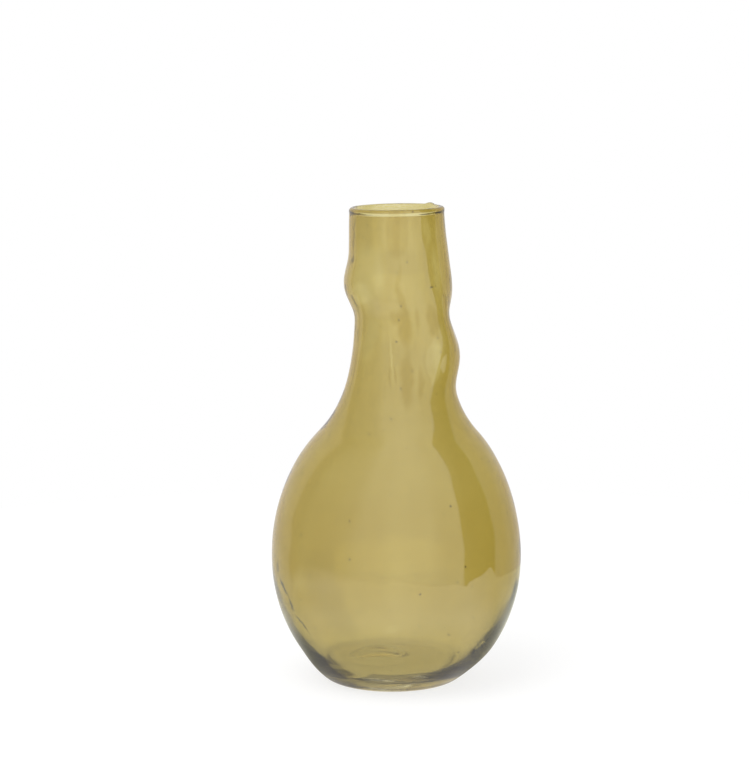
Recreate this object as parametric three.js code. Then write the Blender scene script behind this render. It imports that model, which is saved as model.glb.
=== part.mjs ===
// A mouth-blown glass vase: a round bulb on a thick foot, a drawn-in shoulder and a neck that was
// squeezed and let swell while hot, so that knobs stand out from it on three sides.
// Millimetres, +Z up. The foot stands on z = 0 and the bulb's axis is x = y = 0.

import * as THREE from "three";

// Bulb: an ellipse turned about the axis and cut flat where it stands.
const BULB_RADIUS = 78.8;
const BULB_DROP = 91.5; // half height of the ellipse below its widest line
const BULB_RISE = 102.9; // half height above it
const FOOT_RADIUS = 39.5; // where the ellipse meets the table
const FOOT_ROUND = 5; // how far the foot's edge is rounded away from that corner

// Shoulder and neck: the wall leaves the bulb, bends in and turns upright at the waist.
const SHOULDER_TURN = 50; // degrees up the bulb's ellipse
const SHOULDER_EASE = 15.9; // length of wall that still follows the bulb's slope
const THROAT_EASE = 47.7; // length of wall that already follows the neck
const WAIST_RISE = 155; // waist above the bulb's widest line
const NECK_RADIUS = 29.2;
const NECK_LENGTH = 65.9; // from the waist to the top of the lip

// Glass: an even wall that thickens towards the foot, a flat floor and a fire-polished lip.
const WALL = 2.6;
const HEEL = 8.5; // what the hollow's ellipse stays above the outer one at the bottom
const FLOOR = 10.5; // glass under the hollow
const FLOOR_ROUND = 3; // how far the edge of the floor is rounded
const LIP_ROUND = 1.9; // radius of the bead that the fire leaves
const LIP_PROUD = 0.25; // bead beyond the neck's outside
const LIP_DEPTH = 4.4; // bead and its run-out together

// Swellings of the neck: a collar all round and three knobs. Each has its size, its place above or
// below the waist, how far it reaches up and down, and a knob also the degrees from +X that it faces
// and the degrees that it spreads to each side.
const COLLAR_SWELL = 2.5;
const COLLAR_RISE = 15.3;
const COLLAR_UP = 59.9;
const COLLAR_DOWN = 21.5;
const UPPER_KNOB_SWELL = 4.1;
const UPPER_KNOB_RISE = 17.8;
const UPPER_KNOB_REACH = 21.1;
const UPPER_KNOB_FACING = 143;
const UPPER_KNOB_SPREAD = 180;
const LOWER_KNOB_SWELL = 6.9;
const LOWER_KNOB_DROP = 24.9;
const LOWER_KNOB_REACH = 28.6;
const LOWER_KNOB_FACING = -14;
const LOWER_KNOB_SPREAD = 79;
const FRONT_KNOB_SWELL = 7;
const FRONT_KNOB_DROP = 6.1;
const FRONT_KNOB_REACH = 31.9;
const FRONT_KNOB_FACING = -48;
const FRONT_KNOB_SPREAD = 43;

// Hand-made unevenness: a leaning neck, a foot off centre, a tilted mouth with one raised nub.
const NECK_LEAN = 3; // towards +X at the waist
const NECK_LEAN_REACH = 130;
const FOOT_DRIFT = -2.6;
const FOOT_DRIFT_REACH = 23.4;
const MOUTH_TILT = 1; // degrees, higher at +X
const NUB_RISE = 1;
const NUB_REACH = 5.5; // to each side of its top
const NUB_FACING = 41;

// Kick: the bottom, pushed up by the rod that held it, a little off the axis. The vase stands on the
// flat ring that is left.
const KICK_DEPTH = 4;
const KICK_X = -8;
const KICK_Y = 6;
const FOOT_RING = 3; // width of the ring where it is narrowest

// Facets: sides around the axis and the longest step along the wall.
const SIDES = 48;
const STEP = 8;
const ROUND_STEPS = 6;

const radians = THREE.MathUtils.degToRad;
const point = (radius, height) => new THREE.Vector2(radius, height);

const bulbHeight = BULB_DROP * Math.sqrt(1 - (FOOT_RADIUS / BULB_RADIUS) ** 2);
const waistHeight = bulbHeight + WAIST_RISE;
const mouthHeight = waistHeight + NECK_LENGTH;
const kickRadius = FOOT_RADIUS - FOOT_ROUND - FOOT_RING - Math.hypot(KICK_X, KICK_Y);
const lipMiddle = point(NECK_RADIUS + LIP_PROUD - LIP_ROUND, mouthHeight - LIP_ROUND);

// Points along a curve, without its last one, which the next curve starts with.
function along(curve, least = 2) {
  const count = Math.max(least, Math.ceil(curve.getLength() / STEP));
  return curve.getSpacedPoints(count).slice(0, count);
}

// The wall from the bulb's widest line up to the side of the lip's bead, inset from the outside.
function wallCurves(inset, lipSide) {
  const radius = BULB_RADIUS - inset;
  const rise = BULB_RISE - inset;
  const turn = radians(SHOULDER_TURN);
  const neck = NECK_RADIUS - inset;
  const bulb = new THREE.EllipseCurve(0, bulbHeight, radius, rise, 0, turn);
  const start = bulb.getPoint(1);
  const slope = point(-radius * Math.sin(turn), rise * Math.cos(turn)).normalize();
  const waist = point(neck, waistHeight);
  const shoulder = new THREE.CubicBezierCurve(
    start,
    start.clone().addScaledVector(slope, SHOULDER_EASE),
    point(neck, waistHeight - THROAT_EASE),
    waist,
  );
  const runOut = point(neck, mouthHeight - LIP_DEPTH);
  const upright = new THREE.LineCurve(waist, runOut);
  const side = point(lipMiddle.x + lipSide * LIP_ROUND, lipMiddle.y);
  const halfway = (runOut.y + side.y) / 2;
  const lip = new THREE.CubicBezierCurve(runOut, point(neck, halfway), point(side.x, halfway), side);
  return [bulb, shoulder, upright, lip];
}

// The lower half of the bulb, outside or in the hollow: an ellipse cut flat at a level, with a
// rounded corner that starts on the flat at corner.v0.
function bowlCurves(radius, drop, level, round) {
  const cut = -Math.asin((bulbHeight - level) / drop);
  const edge = radius * Math.cos(cut);
  const wall = new THREE.EllipseCurve(0, bulbHeight, radius, drop, cut + round / drop, 0);
  const flat = point(edge - round, level);
  const corner = new THREE.QuadraticBezierCurve(flat, point(edge, level), wall.getPoint(0));
  return [corner, wall];
}

// The section of the glass, from the middle of the underside, up outside, over the lip and down
// inside to the middle of the hollow.
function section() {
  const [heel, body] = bowlCurves(BULB_RADIUS, BULB_DROP, 0, FOOT_ROUND);
  const [nook, bowl] = bowlCurves(BULB_RADIUS - WALL, BULB_DROP - HEEL, FLOOR, FLOOR_ROUND);
  const kick = new THREE.LineCurve(point(0, 0), point(kickRadius, 0));
  const seat = new THREE.LineCurve(kick.v2, heel.v0);
  const floor = new THREE.LineCurve(point(0, FLOOR), nook.v0);
  const lip = new THREE.EllipseCurve(lipMiddle.x, lipMiddle.y, LIP_ROUND, LIP_ROUND, 0, Math.PI);
  const outside = [kick, seat, heel, body, ...wallCurves(0, 1)].flatMap((curve) => along(curve));
  const inside = [floor, nook, bowl, ...wallCurves(WALL, -1)].flatMap((curve) => along(curve));
  return [...outside, ...along(lip, ROUND_STEPS), lip.getPoint(1), ...inside.reverse()];
}

// A smooth hump: 1 at its top, 0 at the given reach above and below it.
function hump(distance, up, down = up) {
  const share = distance / (distance > 0 ? up : down);
  return Math.abs(share) < 1 ? (1 + Math.cos(Math.PI * share)) / 2 : 0;
}

// The angle between two directions around the axis, the second one in degrees.
const turnFrom = (angle, degrees) => Math.acos(Math.cos(angle - radians(degrees)));

// How far a knob pushes out the wall at a given angle and at a given height above its middle.
function knob(angle, height, { swell, reach, faces, spread }) {
  return swell * hump(height, reach) * hump(turnFrom(angle, faces), radians(spread));
}

const upperKnob = {
  swell: UPPER_KNOB_SWELL,
  reach: UPPER_KNOB_REACH,
  faces: UPPER_KNOB_FACING,
  spread: UPPER_KNOB_SPREAD,
};
const lowerKnob = {
  swell: LOWER_KNOB_SWELL,
  reach: LOWER_KNOB_REACH,
  faces: LOWER_KNOB_FACING,
  spread: LOWER_KNOB_SPREAD,
};
const frontKnob = {
  swell: FRONT_KNOB_SWELL,
  reach: FRONT_KNOB_REACH,
  faces: FRONT_KNOB_FACING,
  spread: FRONT_KNOB_SPREAD,
};

// What the glassmaker did to the turned shape while it was hot.
function workByHand(place) {
  const { x, y, z } = place;
  const angle = Math.atan2(y, x);
  const fromKick = Math.hypot(x - KICK_X, y - KICK_Y);
  const aboveWaist = z - waistHeight;
  const collar = COLLAR_SWELL * hump(aboveWaist - COLLAR_RISE, COLLAR_UP, COLLAR_DOWN);
  const upper = knob(angle, aboveWaist - UPPER_KNOB_RISE, upperKnob);
  const lower = knob(angle, aboveWaist + LOWER_KNOB_DROP, lowerKnob);
  const front = knob(angle, aboveWaist + FRONT_KNOB_DROP, frontKnob);
  const swell = collar + upper + lower + front;
  const lean = NECK_LEAN * hump(aboveWaist, NECK_LENGTH, NECK_LEAN_REACH);
  const drift = FOOT_DRIFT * hump(z, FOOT_DRIFT_REACH);
  const tilt = x * Math.tan(radians(MOUTH_TILT)) * hump(z - mouthHeight, NECK_LENGTH);
  const offNub = NECK_RADIUS * turnFrom(angle, NUB_FACING);
  const nub = NUB_RISE * hump(offNub, NUB_REACH) * hump(z - mouthHeight, LIP_DEPTH);
  const kick = z < bulbHeight ? KICK_DEPTH * hump(fromKick, kickRadius) : 0;
  return new THREE.Vector3(
    x + swell * Math.cos(angle) + lean + drift,
    y + swell * Math.sin(angle),
    z + tilt + nub + kick,
  );
}

function vaseGlass() {
  const geometry = new THREE.LatheGeometry(section(), SIDES);
  geometry.rotateX(Math.PI / 2);
  const places = geometry.attributes.position;
  const place = new THREE.Vector3();
  for (let i = 0; i < places.count; i += 1) {
    place.fromBufferAttribute(places, i);
    const worked = workByHand(place);
    places.setXYZ(i, worked.x, worked.y, worked.z);
  }
  geometry.computeVertexNormals();
  const glass = new THREE.MeshStandardMaterial({
    color: 0xbca766,
    roughness: 0.05,
    metalness: 0,
    transparent: true,
    opacity: 0.55,
  });
  const mesh = new THREE.Mesh(geometry, glass);
  mesh.name = "vase_glass";
  return mesh;
}

const vase = new THREE.Group();
vase.name = "vase";
vase.add(vaseGlass());

export default vase;
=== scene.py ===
import math

import bpy
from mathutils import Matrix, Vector


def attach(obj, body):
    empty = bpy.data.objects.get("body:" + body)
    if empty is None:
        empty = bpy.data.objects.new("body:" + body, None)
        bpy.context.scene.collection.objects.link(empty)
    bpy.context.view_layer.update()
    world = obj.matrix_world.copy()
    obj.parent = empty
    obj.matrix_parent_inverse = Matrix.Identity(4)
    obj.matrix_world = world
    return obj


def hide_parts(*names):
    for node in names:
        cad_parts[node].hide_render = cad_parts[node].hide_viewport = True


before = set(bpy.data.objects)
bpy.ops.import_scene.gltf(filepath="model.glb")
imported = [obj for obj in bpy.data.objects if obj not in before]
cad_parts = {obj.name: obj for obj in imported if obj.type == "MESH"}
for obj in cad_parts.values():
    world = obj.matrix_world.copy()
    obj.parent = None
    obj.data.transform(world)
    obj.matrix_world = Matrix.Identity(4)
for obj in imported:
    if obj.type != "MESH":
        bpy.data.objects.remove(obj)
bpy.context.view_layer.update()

scene = bpy.context.scene
scene.view_settings.view_transform = "Standard"
bounces = 48  # light runs round inside the thick foot many times before it comes out
scene.cycles.max_bounces = bounces
scene.cycles.glossy_bounces = bounces
scene.cycles.transmission_bounces = bounces


# Vase glass: one gather of clear soda-lime glass, blown to a bulb on a thick foot and drawn in to a
# neck, with a thin amber film flashed on the outside. Squeezing the hot neck left three knobs on it.
# It stands free on the flat ring round the kick that the glassmaker's rod left underneath.
MM = 0.001
bulb_radius = 78.8 * MM
bulb_drop = 91.5 * MM
bulb_rise = 102.9 * MM
foot_radius = 39.5 * MM
foot_round = 5 * MM
foot_ring = 3 * MM
kick_x = -8 * MM
kick_y = 6 * MM
shoulder_turn = math.radians(50)
shoulder_ease = 15.9 * MM
throat_ease = 47.7 * MM
waist_rise = 155 * MM
neck_radius = 29.2 * MM
neck_length = 65.9 * MM
wall = 2.6 * MM
heel = 8.5 * MM
floor_level = 10.5 * MM
floor_round = 3 * MM
lip_round = 1.9 * MM
lip_proud = 0.25 * MM
lip_depth = 4.4 * MM

bulb_height = bulb_drop * math.sqrt(1 - (foot_radius / bulb_radius) ** 2)
waist_height = bulb_height + waist_rise
mouth_height = waist_height + neck_length
kick_radius = foot_radius - foot_round - foot_ring - math.hypot(kick_x, kick_y)
lip_middle = Vector((neck_radius + lip_proud - lip_round, mouth_height - lip_round))


def line(start, end, steps):
    return [start.lerp(end, i / steps) for i in range(steps)]


def arc(middle, radius, height, first, last, steps):
    turns = [first + (last - first) * i / steps for i in range(steps)]
    return [middle + Vector((radius * math.cos(a), height * math.sin(a))) for a in turns]


def bezier(controls, steps):
    points = []
    for i in range(steps):
        row = list(controls)
        while len(row) > 1:
            row = [a.lerp(b, i / steps) for a, b in zip(row, row[1:])]
        points.append(row[0])
    return points


def bowl_section(radius, drop, level, rounding):
    """The lower half of the bulb: where its flat ends, then the corner and wall to the widest line."""
    middle = Vector((0, bulb_height))
    cut = -math.asin((bulb_height - level) / drop)
    edge = radius * math.cos(cut)
    start = cut + rounding / drop
    flat = Vector((edge - rounding, level))
    knee = Vector((edge, level))
    rise = middle + Vector((radius * math.cos(start), drop * math.sin(start)))
    return flat, bezier([flat, knee, rise], 10) + arc(middle, radius, drop, start, 0, 70)


def wall_section(inset, lip_side):
    """The wall from the widest line up to the side of the lip's bead."""
    radius = bulb_radius - inset
    rise = bulb_rise - inset
    neck = neck_radius - inset
    middle = Vector((0, bulb_height))
    start = middle + Vector((radius * math.cos(shoulder_turn), rise * math.sin(shoulder_turn)))
    slope = Vector((-radius * math.sin(shoulder_turn), rise * math.cos(shoulder_turn))).normalized()
    waist = Vector((neck, waist_height))
    throat = Vector((neck, waist_height - throat_ease))
    run_out = Vector((neck, mouth_height - lip_depth))
    side = Vector((lip_middle.x + lip_side * lip_round, lip_middle.y))
    halfway = (run_out.y + side.y) / 2
    points = arc(middle, radius, rise, 0, shoulder_turn, 55)
    points += bezier([start, start + slope * shoulder_ease, throat, waist], 55)
    points += line(waist, run_out, 36)
    points += bezier([run_out, Vector((neck, halfway)), Vector((side.x, halfway)), side], 8)
    return points


outer_flat, outer_bowl = bowl_section(bulb_radius, bulb_drop, 0, foot_round)
inner_flat, inner_bowl = bowl_section(bulb_radius - wall, bulb_drop - heel, floor_level, floor_round)
kick_edge = Vector((kick_radius, 0))
outside = line(Vector((0, 0)), kick_edge, 22) + line(kick_edge, outer_flat, 14)
outside += outer_bowl + wall_section(0, 1)
inside = line(Vector((0, floor_level)), inner_flat, 12) + inner_bowl + wall_section(wall, -1)
lip = arc(lip_middle, lip_round, lip_round, 0, math.pi, 16)
lip.append(lip_middle - Vector((lip_round, 0)))
section = outside + lip + inside[::-1]
filmed = len(outside) + len(lip) // 2
film = [1.0] * filmed + [0.0] * (len(section) - filmed)

section_mesh = bpy.data.meshes.new("vase_glass")
section_mesh.from_pydata([(p.x, 0, p.y) for p in section], [], [])
section_mesh.attributes.new("film", "FLOAT", "POINT").data.foreach_set("value", film)
vase = bpy.data.objects.new("vase_glass", section_mesh)
scene.collection.objects.link(vase)

# What the glassmaker did to the turned shape while it was hot, in metres and radians.
hand_work = {
    "Waist height": waist_height,
    "Mouth height": mouth_height,
    "Neck length": neck_length,
    "Neck radius": neck_radius,
    "Collar swell": 2.5 * MM,
    "Collar rise": 15.3 * MM,
    "Collar up": 59.9 * MM,
    "Collar down": 21.5 * MM,
    "Upper knob swell": 4.1 * MM,
    "Upper knob rise": 17.8 * MM,
    "Upper knob reach": 21.1 * MM,
    "Upper knob facing": math.radians(143),
    "Upper knob spread": math.radians(180),
    "Lower knob swell": 6.9 * MM,
    "Lower knob rise": -24.9 * MM,
    "Lower knob reach": 28.6 * MM,
    "Lower knob facing": math.radians(-14),
    "Lower knob spread": math.radians(79),
    "Front knob swell": 7 * MM,
    "Front knob rise": -6.1 * MM,
    "Front knob reach": 31.9 * MM,
    "Front knob facing": math.radians(-48),
    "Front knob spread": math.radians(43),
    "Neck lean": 3 * MM,
    "Neck lean reach": 130 * MM,
    "Foot drift": -2.6 * MM,
    "Foot drift reach": 23.4 * MM,
    "Hollow drift": -1.2 * MM,
    "Hollow drift reach": 60 * MM,
    "Mouth tilt": math.tan(math.radians(1)),
    "Nub rise": 1 * MM,
    "Nub reach": 5.5 * MM,
    "Nub facing": math.radians(41),
    "Lip depth": lip_depth,
    "Kick depth": 4 * MM,
    "Kick radius": kick_radius,
    "Kick ceiling": bulb_height,
    "Kick X": kick_x,
    "Kick Y": kick_y,
    "Scar radius": 14.5 * MM,
    "Scar width": 1.6 * MM,
    "Scar depth": 0.35 * MM,
    "Neck streaks": 0.4 * MM,
    "Bulb ripples": 0.2 * MM,
    "Seed size": 0.65 * MM,
    "Seed depth": wall / 2,
    "Seed film": 1.0,
}

tree = bpy.data.node_groups.new("blown_vase", "GeometryNodeTree")
tree.interface.new_socket("Section", in_out="INPUT", socket_type="NodeSocketGeometry")
sides_socket = tree.interface.new_socket("Sides", in_out="INPUT", socket_type="NodeSocketInt")
seeds_socket = tree.interface.new_socket("Seeds", in_out="INPUT", socket_type="NodeSocketInt")
sockets = {}
for name in hand_work:
    sockets[name] = tree.interface.new_socket(name, in_out="INPUT", socket_type="NodeSocketFloat")
glass_socket = tree.interface.new_socket("Glass", in_out="INPUT", socket_type="NodeSocketMaterial")
tree.interface.new_socket("Vase", in_out="OUTPUT", socket_type="NodeSocketGeometry")
given = tree.nodes.new("NodeGroupInput")
size = {name: given.outputs[name] for name in hand_work}


def feed(socket, value):
    if isinstance(value, bpy.types.NodeSocket):
        tree.links.new(value, socket)
    else:
        socket.default_value = value


def node(kind, inputs, **settings):
    made = tree.nodes.new(kind)
    for key, value in settings.items():
        setattr(made, key, value)
    for key, value in inputs.items():
        feed(made.inputs[key], value)
    return made


def reckon(operation, *values):
    """One step of arithmetic in the tree that is being made."""
    return node("ShaderNodeMath", dict(enumerate(values)), operation=operation).outputs[0]


def total(*values):
    result = values[0]
    for value in values[1:]:
        result = reckon("ADD", result, value)
    return result


def product(*values):
    result = values[0]
    for value in values[1:]:
        result = reckon("MULTIPLY", result, value)
    return result


def hump(distance, up, down=None):
    """A smooth hump: 1 at its top, 0 at the given reach to either side."""
    above = reckon("DIVIDE", reckon("MAXIMUM", distance, 0.0), up)
    below = reckon("DIVIDE", reckon("MINIMUM", distance, 0.0), up if down is None else down)
    share = reckon("MINIMUM", reckon("MAXIMUM", total(above, below), -1.0), 1.0)
    return reckon("MULTIPLY_ADD", reckon("COSINE", product(share, math.pi)), 0.5, 0.5)


def turn_from(angle, towards):
    """The angle between two directions around the axis."""
    return reckon("ARCCOSINE", reckon("COSINE", reckon("SUBTRACT", angle, towards)))


def knob(name, angle, above_waist):
    """How far a knob of the neck pushes out the wall."""
    upright = hump(reckon("SUBTRACT", above_waist, size[name + " rise"]), size[name + " reach"])
    around = hump(turn_from(angle, size[name + " facing"]), size[name + " spread"])
    return product(size[name + " swell"], upright, around)


# The turned shape: the section's points, repeated on every side. Sides and rows are counted by index.
section_count = node("GeometryNodeAttributeDomainSize", {"Geometry": given.outputs["Section"]})
rows = section_count.outputs["Point Count"]
columns = total(given.outputs["Sides"], 1)
grid = node("GeometryNodeMeshGrid", {"Vertices X": columns, "Vertices Y": rows})
index = node("GeometryNodeInputIndex", {}).outputs[0]
row = reckon("MODULO", index, rows)
column = reckon("FLOOR", reckon("DIVIDE", index, rows))
angle = reckon("DIVIDE", product(column, math.tau), given.outputs["Sides"])
place = node("GeometryNodeInputPosition", {}).outputs[0]
turned = node(
    "GeometryNodeSampleIndex",
    {"Geometry": given.outputs["Section"], "Value": place, "Index": row},
    data_type="FLOAT_VECTOR",
).outputs[0]
film_mark = node("GeometryNodeInputNamedAttribute", {"Name": "film"}, data_type="FLOAT").outputs[0]
film_share = node(
    "GeometryNodeSampleIndex",
    {"Geometry": given.outputs["Section"], "Value": film_mark, "Index": row},
    data_type="FLOAT",
).outputs[0]
parts = node("ShaderNodeSeparateXYZ", {0: turned})
radius = parts.outputs["X"]
height = parts.outputs["Z"]
cosine = reckon("COSINE", angle)
sine = reckon("SINE", angle)

# The hand work.
above_waist = reckon("SUBTRACT", height, size["Waist height"])
below_mouth = reckon("SUBTRACT", height, size["Mouth height"])
collar_share = hump(
    reckon("SUBTRACT", above_waist, size["Collar rise"]), size["Collar up"], size["Collar down"]
)
swell = total(
    product(size["Collar swell"], collar_share),
    knob("Upper knob", angle, above_waist),
    knob("Lower knob", angle, above_waist),
    knob("Front knob", angle, above_waist),
)
shift = total(
    product(size["Neck lean"], hump(above_waist, size["Neck length"], size["Neck lean reach"])),
    product(size["Foot drift"], hump(height, size["Foot drift reach"])),
    product(
        size["Hollow drift"],
        hump(height, size["Hollow drift reach"]),
        reckon("SUBTRACT", 1.0, film_share),
    ),
)
tilt = product(radius, cosine, size["Mouth tilt"], hump(below_mouth, size["Neck length"]))
off_nub = turn_from(angle, size["Nub facing"])
nub = product(
    size["Nub rise"],
    hump(product(off_nub, size["Neck radius"]), size["Nub reach"]),
    hump(below_mouth, size["Lip depth"]),
)
under_bulb = reckon("LESS_THAN", height, size["Kick ceiling"])
kick_side = reckon("SUBTRACT", product(radius, cosine), size["Kick X"])
kick_back = reckon("SUBTRACT", product(radius, sine), size["Kick Y"])
from_kick = reckon("SQRT", total(product(kick_side, kick_side), product(kick_back, kick_back)))
kick = product(size["Kick depth"], hump(from_kick, size["Kick radius"]), under_bulb)
scar_line = hump(reckon("SUBTRACT", from_kick, size["Scar radius"]), size["Scar width"])
scar = product(size["Scar depth"], scar_line, under_bulb, film_share)

# Ripples: long upright streaks in the neck, wide soft ones on the bulb, different inside and outside.
streaks_around = 4.5
streaks_up = 20.0
ripples_across = 70.0
ripples_up = 60.0
apart = product(film_share, 7.0)
streak_place = node(
    "ShaderNodeCombineXYZ",
    {
        "X": total(product(cosine, streaks_around), apart),
        "Y": product(sine, streaks_around),
        "Z": product(height, streaks_up),
    },
).outputs[0]
streaks = node("ShaderNodeTexNoise", {"Vector": streak_place, "Scale": 1.0, "Detail": 1.0}).outputs[0]
ripple_place = node(
    "ShaderNodeCombineXYZ",
    {
        "X": total(product(radius, cosine, ripples_across), apart),
        "Y": product(radius, sine, ripples_across),
        "Z": product(height, ripples_up),
    },
).outputs[0]
ripples = node("ShaderNodeTexNoise", {"Vector": ripple_place, "Scale": 1.0, "Detail": 0.0}).outputs[0]
neck_share = hump(reckon("SUBTRACT", above_waist, size["Collar rise"]), size["Neck lean reach"])
clear_of_foot = reckon("MINIMUM", product(height, 18.0), 1.0)
unevenness = product(
    total(
        product(size["Neck streaks"], neck_share, reckon("SUBTRACT", streaks, 0.5)),
        product(size["Bulb ripples"], reckon("SUBTRACT", ripples, 0.5)),
    ),
    reckon("MULTIPLY_ADD", film_share, 0.7, 0.3),
    2.0,
    clear_of_foot,
)

off_middle = reckon("GREATER_THAN", radius, 0.0)
worked_radius = total(radius, product(total(swell, unevenness), off_middle))
worked = node(
    "ShaderNodeCombineXYZ",
    {
        "X": total(product(worked_radius, cosine), shift),
        "Y": product(worked_radius, sine),
        "Z": total(height, tilt, nub, kick, scar),
    },
).outputs[0]
shaped = node("GeometryNodeSetPosition", {"Geometry": grid.outputs["Mesh"], "Position": worked})
marked = node(
    "GeometryNodeStoreNamedAttribute",
    {"Geometry": shaped.outputs[0], "Name": "film", "Value": film_share},
    data_type="FLOAT",
    domain="POINT",
)
closed = node("GeometryNodeMergeByDistance", {"Geometry": marked.outputs[0], "Distance": 1e-6})

# Seeds: small bubbles of gas that stayed in the middle of the wall, as hollows in the glass.
film_now = node("GeometryNodeInputNamedAttribute", {"Name": "film"}, data_type="FLOAT").outputs[0]
scattered = node(
    "GeometryNodeDistributePointsOnFaces",
    {
        "Mesh": closed.outputs[0],
        "Selection": reckon("GREATER_THAN", film_now, 0.5),
        "Density": given.outputs["Seeds"],
        "Seed": 5,
    },
)
inward = node(
    "ShaderNodeVectorMath",
    {0: scattered.outputs["Normal"], "Scale": product(size["Seed depth"], -1.0)},
    operation="SCALE",
).outputs[0]
sunk = node("GeometryNodeSetPosition", {"Geometry": scattered.outputs["Points"], "Offset": inward})
bubble = node("GeometryNodeMeshIcoSphere", {"Radius": size["Seed size"], "Subdivisions": 2})
growth = node("FunctionNodeRandomValue", {"Min": 0.35, "Max": 1.0, "Seed": 11}, data_type="FLOAT")
seeds = node(
    "GeometryNodeInstanceOnPoints",
    {
        "Points": sunk.outputs[0],
        "Instance": bubble.outputs["Mesh"],
        "Scale": [s for s in growth.outputs if s.enabled and s.type == "VALUE"][0],
    },
)
seed_shells = node("GeometryNodeRealizeInstances", {"Geometry": seeds.outputs[0]})
shaded_seeds = node(
    "GeometryNodeStoreNamedAttribute",
    {"Geometry": seed_shells.outputs[0], "Name": "film", "Value": size["Seed film"]},
    data_type="FLOAT",
    domain="POINT",
)
hollows = node("GeometryNodeFlipFaces", {"Mesh": shaded_seeds.outputs[0]})
whole = tree.nodes.new("GeometryNodeJoinGeometry")
tree.links.new(hollows.outputs[0], whole.inputs[0])
tree.links.new(closed.outputs[0], whole.inputs[0])
smooth = node("GeometryNodeSetShadeSmooth", {"Geometry": whole.outputs[0]})
realized = node("GeometryNodeRealizeInstances", {"Geometry": smooth.outputs[0]})
dressed = node(
    "GeometryNodeSetMaterial", {"Geometry": realized.outputs[0], "Material": given.outputs["Glass"]}
)
result = tree.nodes.new("NodeGroupOutput")
tree.links.new(dressed.outputs[0], result.inputs[0])

# Glass: clear, fire-polished, with the amber film only on the outside and paler towards the foot.
glass = bpy.data.materials.new("amber_glass")
glass.use_nodes = True
tree = glass.node_tree
shader = tree.nodes["Principled BSDF"]
shader.inputs["Transmission Weight"].default_value = 1.0
shader.inputs["IOR"].default_value = 1.5
amber = (0.430, 0.320, 0.0605, 1)
clear = (0.98, 0.985, 0.97, 1)
nearly_black = (0.05, 0.044, 0.032, 1)
at = node("ShaderNodeTexCoord", {}).outputs["Object"]
place = node("ShaderNodeSeparateXYZ", {0: at})
level = place.outputs["Z"]


def ease(value, start, end, low=0.0, high=1.0, kind="LINEAR"):
    """From low to high while the value goes from start to end."""
    span = {"Value": value, "From Min": start, "From Max": end, "To Min": low, "To Max": high}
    return node("ShaderNodeMapRange", span, interpolation_type=kind).outputs[0]


def blend(share, first, second):
    """The first value, going over to the second with the share."""
    return node("ShaderNodeMix", {0: share, 2: first, 3: second}, data_type="FLOAT").outputs[0]


def blend_colour(share, first, second):
    return node("ShaderNodeMix", {0: share, 6: first, 7: second}, data_type="RGBA").outputs[2]


def noise(where, scale, detail):
    return node("ShaderNodeTexNoise", {"Vector": where, "Scale": scale, "Detail": detail})


def by_height(values):
    """What is given for heights in millimetres, even in between."""
    top = max(values)
    ramp = node("ShaderNodeValToRGB", {0: reckon("DIVIDE", level, top * MM)})
    stops = ramp.color_ramp.elements
    for millimetres, value in values.items():
        if millimetres == 0:
            stop = stops[0]
        elif millimetres == top:
            stop = stops[-1]
        else:
            stop = stops.new(millimetres / top)
        stop.color = (value, value, value, 1)
    return ramp.outputs[0]


def stray(scale, reach):
    """The place, moved about by noise, so that a mark drawn there has a wavering edge."""
    waver = noise(at, scale, 2.0).outputs["Color"]
    middle = (0.5, 0.5, 0.5)
    waver = node("ShaderNodeVectorMath", {0: waver, 1: middle}, operation="SUBTRACT").outputs[0]
    moved = {0: waver, 1: reach, 2: at}
    return node("ShaderNodeVectorMath", moved, operation="MULTIPLY_ADD").outputs[0]


def strokes(where, marks):
    """The sum of soft strokes on the side that faces -Y, each a long ellipse in X and Z."""
    summed = 0.0
    for side, high, half_width, half_length, lean, heart, depth in marks:
        stroke = node(
            "ShaderNodeMapping",
            {
                "Vector": where,
                "Location": (side * MM, 0, high * MM),
                "Rotation": (0, math.radians(lean), 0),
                "Scale": (half_width * MM, 1, half_length * MM),
            },
            vector_type="TEXTURE",
        ).outputs[0]
        off = node("ShaderNodeVectorMath", {0: stroke}, operation="LENGTH").outputs["Value"]
        summed = total(summed, ease(off, 1.0, heart, 0.0, depth, "SMOOTHSTEP"))
    forward = node("ShaderNodeSeparateXYZ", {0: where}).outputs["Y"]
    return product(summed, reckon("LESS_THAN", forward, 0.0))


# The film's thickness: by height, in soft clouds, and in long upright lines, which are stronger on
# the neck.
film_by_height = {
    0: 0.66, 12: 0.71, 45: 0.97, 62: 1.03, 95: 1.04, 120: 0.98, 140: 0.91, 185: 0.96, 250: 0.91,
    285: 0.93, 300: 1.03,
}
cloud = noise(at, 28.0, 3.0).outputs[0]
long_ways = node("ShaderNodeVectorMath", {0: at, 1: (110, 110, 15)}, operation="MULTIPLY").outputs[0]
drawn = noise(long_ways, 1.0, 2.0).outputs[0]
on_neck = ease(level, 150 * MM, 200 * MM, 0.08, 0.2)
thickness = total(
    by_height(film_by_height),
    product(reckon("SUBTRACT", cloud, 0.5), 0.12),
    product(reckon("SUBTRACT", drawn, 0.5), on_neck),
)

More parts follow.
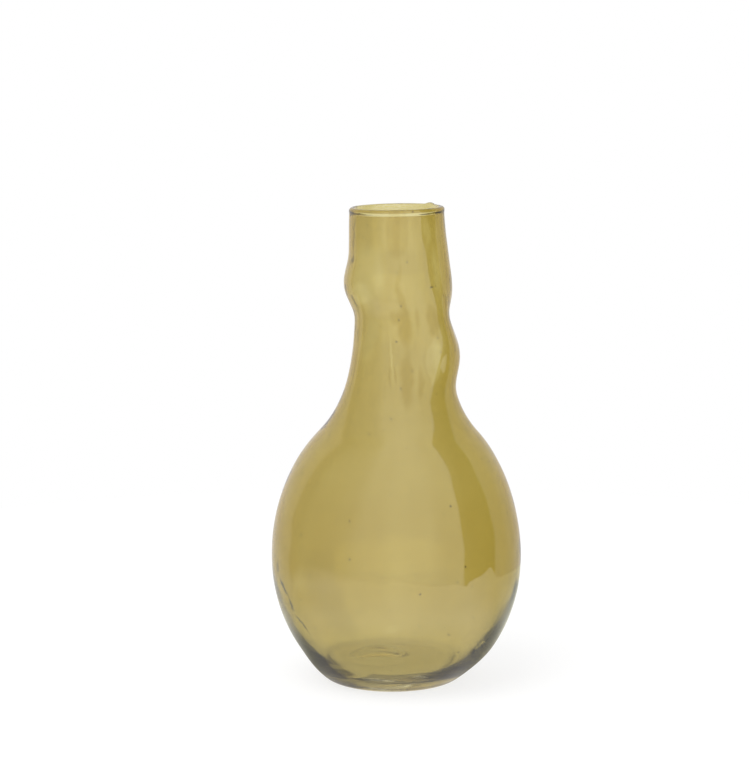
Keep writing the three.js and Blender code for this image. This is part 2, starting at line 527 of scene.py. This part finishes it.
# Streaks on the front: partly the film drawn thicker or thinner on the neck, partly painted light on
# the neck and bulb, as painted shade where it is thicker and painted highlight where it is thinner. For
# each: the middle's X and Z, half width and half length in millimetres, lean in degrees, where its even
# heart ends, and how much thicker it is.
streaks = [
    (0, 287, 8.5, 19, 0, 0.75, 0.11),
    (-0.5, 287, 4, 20, 0, 0.3, 0.09),
    (0.8, 259, 2.2, 14, 6, 0.2, 0.12),
    (3.2, 246, 3, 12, -18, 0.3, 0.18),
    (4.5, 229, 5.5, 17, -7, 0.4, 0.26),
    (-1.5, 234, 3.5, 7, 0, 0.4, 0.15),
    (6.5, 196, 5.5, 22, 0, 0.4, 0.21),
    (13, 233, 2.4, 9, 0, 0.2, 0.12),
    (15, 193, 2.5, 13, 0, 0.3, 0.18),
    (23, 231, 5, 17, -10, 0.3, 0.26),
    (26.5, 213, 6, 22, 3, 0.3, -0.2),
    (5, 105, 32, 50, 0, 0.2, -0.1),
    (-14.5, 226, 6, 14, 0, 0.3, -0.16),
    (23, 208, 5, 17, 3, 0.75, -0.22),
    (-18, 259, 15, 24, 0, 0.5, -0.24),
    (-22, 248, 9, 8, 0, 0.5, -0.17),
    (18, 288, 3.5, 16, -4, 0.3, -0.26),
    (24, 263, 4, 20, -7, 0.3, -0.26),
    (-2.8, 209, 0.9, 17, 0, 0.2, -0.30),
    (-4.7, 198, 1.2, 8, 0, 0.2, 0.14),
    (-1, 199, 1.2, 7, 0, 0.2, 0.14),
    (-20, 214, 8, 12, 0, 0.3, -0.14),
]
drawn_film_and_painted_light = strokes(stray(70.0, (6 * MM, 0, 6 * MM)), streaks)
thickness = total(thickness, drawn_film_and_painted_light)
tint = node("ShaderNodeGamma", {"Color": amber, "Gamma": thickness}).outputs[0]
film_here = node("ShaderNodeAttribute", {}, attribute_name="film").outputs["Fac"]
colour = blend_colour(film_here, clear, tint)
# Painted shade on the reflection: the glass mirrors less where the streaks thicken the film.
painted_reflection_shade = reckon("MULTIPLY_ADD", reckon("MAXIMUM", drawn_film_and_painted_light, 0.0), -0.9, 1.0)
painted_reflection_shade_colour = node("ShaderNodeCombineColor", {0: painted_reflection_shade, 1: painted_reflection_shade, 2: painted_reflection_shade}).outputs[0]
tree.links.new(painted_reflection_shade_colour, shader.inputs["Specular Tint"])

# Painted shade lines: fine dark lines on the left of the neck and low on the left of the bulb, given as
# the streaks are, shown only where the glass turns away from the viewer. A like painted shade line runs
# along the back of the lip, and one just above the table.
painted_shade_lines = [
    (-26.3, 283, 0.8, 17, 3, 0.3, 0.6),
    (-27.2, 268, 1.1, 4, 15, 0.3, 0.8),
    (-26, 242.5, 0.8, 6.5, -29, 0.3, 0.8),
    (-73.9, 78, 1.1, 6, 0, 0.4, 0.7),
    (-69.7, 66.5, 1.3, 8, -27, 0.4, 1.0),
    (-65, 56.5, 1.1, 6.5, -20, 0.4, 0.95),
    (-58, 45.3, 0.9, 9.5, -40, 0.4, 0.9),
]
painted_line_shade = strokes(stray(260.0, (3 * MM, 3 * MM, 3 * MM)), painted_shade_lines)
at_back = reckon("GREATER_THAN", place.outputs["Y"], 0.0)
lip_painted_shade = product(ease(level, 298.5 * MM, 300.3 * MM, 0.0, 0.35), at_back)
off_line = reckon("ABSOLUTE", reckon("SUBTRACT", level, 3.5 * MM))
foot_painted_shade = ease(off_line, 1.3 * MM, 0.6 * MM, 0.0, 0.75)
turned_away = node("ShaderNodeLayerWeight", {"Blend": 0.5}).outputs["Facing"]
aslant = ease(turned_away, 0.22, 0.42)
painted_lines_darkening = product(total(painted_line_shade, lip_painted_shade, foot_painted_shade), aslant)

# Painted shade: seen edge on, the thick glass above the foot has its colour painted nearly black,
# standing in for the light it guides away. For each height in millimetres, the share of turning away
# from the viewer at which that starts.
edge_on_left = {
    0: 1.1, 6: 0.95, 10: 0.56, 15: 0.575, 22: 0.585, 30: 0.61, 36: 0.65, 42: 0.68, 48: 0.67, 58: 0.8,
    66: 1.1,
}
edge_on_right = {
    0: 1.1, 6: 0.95, 10: 0.58, 14: 0.53, 18: 0.505, 23: 0.533, 28: 0.565, 31: 0.605, 37: 0.635,
    48: 0.66, 57: 0.7, 66: 1.1,
}
edge_on_middle = {
    0: 1.1, 7: 1.0, 8.5: 0.45, 12: 0.4, 16: 0.4, 18: 0.46, 22: 0.56, 30: 0.61, 37: 0.64, 48: 0.66,
    57: 0.75, 66: 1.1,
}
to_right = ease(place.outputs["X"], -20 * MM, 20 * MM)
to_middle = ease(reckon("ABSOLUTE", place.outputs["X"]), 27 * MM, 14 * MM)
starts = blend(to_right, by_height(edge_on_left), by_height(edge_on_right))
starts = blend(to_middle, starts, by_height(edge_on_middle))
loss = blend(to_middle, ease(level, 34 * MM, 43 * MM, 0.98, 0.6), 0.7)
painted_edge_shade = ease(reckon("SUBTRACT", turned_away, starts), -0.02, 0.02, 0.0, loss, "SMOOTHSTEP")
# Painted shade: the painted lines and the painted edge-on darkening turn the outside's colour towards
# nearly black.
dark = product(reckon("MAXIMUM", painted_lines_darkening, painted_edge_shade), film_here)
tree.links.new(blend_colour(dark, colour, nearly_black), shader.inputs["Base Color"])

# Polish: bright from the fire, a little matt underneath, where the rod and the table touched the glass.
polish = ease(cloud, 0.3, 0.7, 0.0, 0.02)
flat_place = node("ShaderNodeVectorMath", {0: at, 1: (1, 1, 0)}, operation="MULTIPLY").outputs[0]
off_axis = node("ShaderNodeVectorMath", {0: flat_place}, operation="LENGTH").outputs["Value"]
underneath = product(reckon("LESS_THAN", level, 6 * MM), reckon("LESS_THAN", off_axis, 36 * MM))
matt = total(polish, product(underneath, 0.13), product(painted_edge_shade, 0.08))
tree.links.new(matt, shader.inputs["Roughness"])
peel = noise(at, 60.0, 0.0).outputs[0]
skin = node("ShaderNodeBump", {"Height": peel, "Strength": 0.03, "Distance": 0.5 * MM}).outputs[0]
tree.links.new(skin, shader.inputs["Normal"])

vase_sides = 168
seeds_per_square_metre = 1000
blowing = vase.modifiers.new("blown_vase", "NODES")
blowing.node_group = bpy.data.node_groups["blown_vase"]
blowing[sides_socket.identifier] = vase_sides
blowing[seeds_socket.identifier] = seeds_per_square_metre
for name, value in hand_work.items():
    blowing[sockets[name].identifier] = value
blowing[glass_socket.identifier] = glass
evaluated = vase.evaluated_get(bpy.context.evaluated_depsgraph_get())
blown_mesh = bpy.data.meshes.new_from_object(evaluated)
vase.modifiers.remove(blowing)
vase.data = blown_mesh
bpy.data.meshes.remove(section_mesh)
blown_mesh.name = "vase_glass"
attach(vase, "root")
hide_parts("vase_glass")


# Table: a round white lacquered top that the vase stands on, wide enough to take its soft shadow. What
# the glass mirrors of it glows as painted light: brighter towards the window, with a painted shade
# round the foot.
table_radius = 0.65
table_sides = 96
table_level = -0.2 * MM
rim = []
for i in range(table_sides):
    turn = math.tau * i / table_sides
    rim.append((table_radius * math.cos(turn), table_radius * math.sin(turn), table_level))
table_mesh = bpy.data.meshes.new("table")
table_mesh.from_pydata(rim, [], [list(range(table_sides))])
table = bpy.data.objects.new("table", table_mesh)
scene.collection.objects.link(table)
lacquer = bpy.data.materials.new("table_white")
lacquer.use_nodes = True
tree = lacquer.node_tree
tree.nodes.remove(tree.nodes["Principled BSDF"])
ray = node("ShaderNodeLightPath", {})
at = node("ShaderNodeTexCoord", {}).outputs["Object"]
from_axis = node("ShaderNodeVectorMath", {0: at}, operation="LENGTH").outputs["Value"]
spot = node("ShaderNodeSeparateXYZ", {0: at})


def bearing_of(direction):
    """The turn from -Y towards +X, in radians."""
    return reckon("ARCTAN2", direction.outputs["X"], reckon("MULTIPLY", direction.outputs["Y"], -1.0))


bearing = bearing_of(spot)
around = reckon("MULTIPLY_ADD", bearing, 1 / math.tau, 0.5)


def by_bearing(values, tone):
    """What is given for bearings in degrees from -Y, even in between, each with its tone."""
    ramp = node("ShaderNodeValToRGB", {0: around})
    stops = ramp.color_ramp.elements
    stops.remove(stops[-1])
    for i, (degrees, value) in enumerate(values.items()):
        share = (degrees + 180) / 360
        stop = stops[0] if i == 0 else stops.new(share)
        stop.position = share
        red, green, blue = tone(degrees)
        stop.color = (value * red, value * green, value * blue, 1)
    return ramp.outputs[0]


def table_tone(degrees):
    """White, and a little yellower behind the vase."""
    return (1, 1, 0.86) if abs(degrees) > 80 else (1, 1, 1)


def either(share, first, second):
    """The first shader, going over to the second with the share."""
    return node("ShaderNodeMixShader", {0: share, 1: first, 2: second}).outputs[0]


def ran_inside(ray):
    """1 for light that was mirrored inside the glass before it came out."""
    was_mirrored = reckon("GREATER_THAN", ray.outputs["Glossy Depth"], 0.5)
    return product(ray.outputs["Is Transmission Ray"], was_mirrored)


# Mirrored outside on the glass, as painted light: how bright the table is near the vase and farther
# off, and how many metres away its ragged edge lies, by bearing.
near = {-180: 0.9, -130: 0.95, -90: 1.1, -60: 1.9, 0: 2.9, 60: 2.2, 90: 1.1, 130: 0.9, 180: 0.9}
far = {
    -180: 0.8, -130: 0.9, -90: 1.6, -60: 2.2, 0: 2.6, 60: 2.3, 90: 1.3, 110: 0.9, 130: 0.8, 180: 0.8,
}
reach = {
    -180: 0.3, -108: 0.25, -101: 0.25, -96: 0.41, -90: 0.5, -60: 0.52, 0: 0.48, 50: 0.32, 59: 0.31,
    73: 0.43, 88: 0.54, 92: 0.5, 96: 0.36, 180: 0.36,
}
away = ease(from_axis, 0.18, 0.3, kind="SMOOTHSTEP")
ground = blend_colour(away, by_bearing(near, table_tone), by_bearing(far, table_tone))
# Painted shade of the vase round its foot, in what the glass mirrors.
clear_of_shade = ease(from_axis, 0.045, 0.15, kind="SMOOTHSTEP")
foot_shade = blend_colour(clear_of_shade, (0.33, 0.315, 0.295, 1), (1, 1, 1, 1))
ground = node(
    "ShaderNodeMix", {0: 1.0, 6: ground, 7: foot_shade}, data_type="RGBA", blend_type="MULTIPLY"
).outputs[2]
shine = node("ShaderNodeEmission", {"Color": ground}).outputs[0]
open_air = node("ShaderNodeBsdfTransparent", {}).outputs[0]
edge_waver = noise(at, 30.0, 3.0).outputs[0]
table_edge = reckon("MULTIPLY_ADD", reckon("SUBTRACT", edge_waver, 0.5), 0.05, by_bearing(reach, table_tone))
blur = ease(bearing, -1.2, 0.9, 0.2, 0.004)
past_edge = reckon("DIVIDE", reckon("SUBTRACT", from_axis, table_edge), blur)
beyond = reckon("MULTIPLY_ADD", past_edge, 0.5, 0.5)
beyond = reckon("MINIMUM", reckon("MAXIMUM", beyond, 0.0), 1.0)
mirrored = either(beyond, shine, open_air)

# Seen through the glass: white, with painted shade under and round the foot, and a painted shade close
# round the vase for light that runs round inside it.
from_shade = node("ShaderNodeVectorMath", {0: at, 1: (-14 * MM, 0, 0)}, operation="DISTANCE")
under = ease(from_shade.outputs["Value"], 0.034, 0.07, 0.71, 1.0, "SMOOTHSTEP")
round_foot = ease(from_axis, 0.1, 0.35, 0.91, 1.0)
many = ease(ray.outputs["Glossy Depth"], 2.0, 4.0)
close = ease(from_axis, 0.2, 0.1)
inner_loss = product(reckon("MULTIPLY_ADD", many, 0.42, 0.2), close)
inner_light = reckon("MULTIPLY_ADD", inner_loss, -1.0, 0.82)
lit = blend(ran_inside(ray), product(under, round_foot), inner_light)
through = node("ShaderNodeEmission", {"Strength": lit}).outputs[0]

# Seen as it is: white with the vase's shadow.
matte = node("ShaderNodeBsdfDiffuse", {"Color": (0.25, 0.25, 0.25, 1)}).outputs[0]
glow = node("ShaderNodeEmission", {"Color": (1, 1, 1, 1), "Strength": 0.8}).outputs[0]
seen = node("ShaderNodeAddShader", {0: matte, 1: glow}).outputs[0]
surface = either(ray.outputs["Is Camera Ray"], matte, seen)
surface = either(ray.outputs["Is Glossy Ray"], surface, mirrored)
surface = either(ray.outputs["Is Transmission Ray"], surface, through)
tree.links.new(surface, tree.nodes["Material Output"].inputs["Surface"])
table_mesh.materials.append(lacquer)


# Studio: a white room with a large soft window in front, a dark gap to the window's right and one soft
# lamp overhead. Only what the glass mirrors shows the window and the gap.
world = bpy.data.worlds.new("studio")
world.use_nodes = True
scene.world = world
tree = world.node_tree
ray = node("ShaderNodeLightPath", {})
towards = node("ShaderNodeSeparateXYZ", {0: node("ShaderNodeTexCoord", {}).outputs["Generated"]})
bearing = bearing_of(towards)
on_right = reckon("GREATER_THAN", bearing, 0.0)
rise = reckon("POWER", reckon("MAXIMUM", towards.outputs["Z"], 0.0), 3.0)
lift = reckon("MULTIPLY_ADD", product(rise, on_right), -0.33, 1.0)
around = reckon("MULTIPLY_ADD", product(bearing, lift), 1 / math.tau, 0.5)

# How bright the walls are by bearing: the window and the dark gap, then the rest of the room, as the
# outside of the glass mirrors it and as light that ran round inside the glass meets it.
window = {
    -114: 0.6, -105: 0.6, -93: 0.85, -64: 1.2, -47: 1.5, -31: 2.0, 0: 2.25, 31: 2.15, 47: 1.8,
    64: 1.7, 66: 0.3, 75: 0.15, 93: 0.03, 103: 0.03, 105: 0.58,
}
walls_outside = {-180: 0.75, -136: 0.85, -117: 0.95, **window, 118: 0.5, 140: 0.6, 180: 0.7}
walls_inside = {
    -180: 0.85, -144: 0.85, -142: 0.72, -134: 0.72, -132: 0.85, -120: 0.8, **window, 120: 0.8,
    132: 0.85, 134: 0.72, 142: 0.72, 144: 0.85, 180: 0.85,
}


def wall_tone(degrees):
    """Cool towards the window, warm behind the vase."""
    return (0.96, 1.0, 1.07) if abs(degrees) < 110 else (1.05, 0.99, 0.94)


def backdrop(colour, strength=1.0):
    return node("ShaderNodeBackground", {"Color": colour, "Strength": strength}).outputs[0]


room = backdrop(by_bearing(walls_outside, wall_tone))
inner_room = backdrop(by_bearing(walls_inside, wall_tone))
plain = backdrop((1, 1, 1, 1), 0.75)
white = backdrop((1, 1, 1, 1))
dim = backdrop((0.03, 0.03, 0.02, 1))
seen_white = reckon("MAXIMUM", ray.outputs["Is Camera Ray"], ray.outputs["Is Transmission Ray"])
sky = either(ray.outputs["Is Glossy Ray"], plain, room)
sky = either(seen_white, sky, white)
not_overhead = ease(towards.outputs["Z"], 0.9, 0.75)
upward = product(reckon("GREATER_THAN", towards.outputs["Z"], 0.0), not_overhead)
spent = ease(ray.outputs["Glossy Depth"], 3.0, 8.0, 0.0, 0.92)
inner_room = either(product(upward, spent), inner_room, dim)
sky = either(ran_inside(ray), sky, inner_room)
tree.links.new(sky, tree.nodes["World Output"].inputs["Surface"])

lamp_data = bpy.data.lights.new("soft_lamp", "AREA")
lamp_data.shape = "DISK"
lamp_data.size = 1.2
lamp_data.energy = 12
lamp = bpy.data.objects.new("soft_lamp", lamp_data)
lamp.location = (-0.5, -0.7, 1.5)
lamp.rotation_euler = (Vector((0, 0, 0.1)) - lamp.location).to_track_quat("-Z", "Y").to_euler()
lamp.visible_glossy = False
lamp.visible_transmission = False
scene.collection.objects.link(lamp)


# Camera: a long lens a little above the mouth, looking down on the foot, as in the photograph. It
# stands straight in front of the vase, which sits a little right of the picture's middle.
camera_data = bpy.data.cameras.new("camera")
camera_data.lens = 121.08
camera_data.sensor_width = 36
camera = bpy.data.objects.new("camera", camera_data)
camera.location = (0, -1.6054, 0.4226)
aim = Vector((-0.01378, 0, 0.1884))
camera.rotation_euler = (aim - camera.location).to_track_quat("-Z", "Y").to_euler()
scene.collection.objects.link(camera)
scene.camera = camera
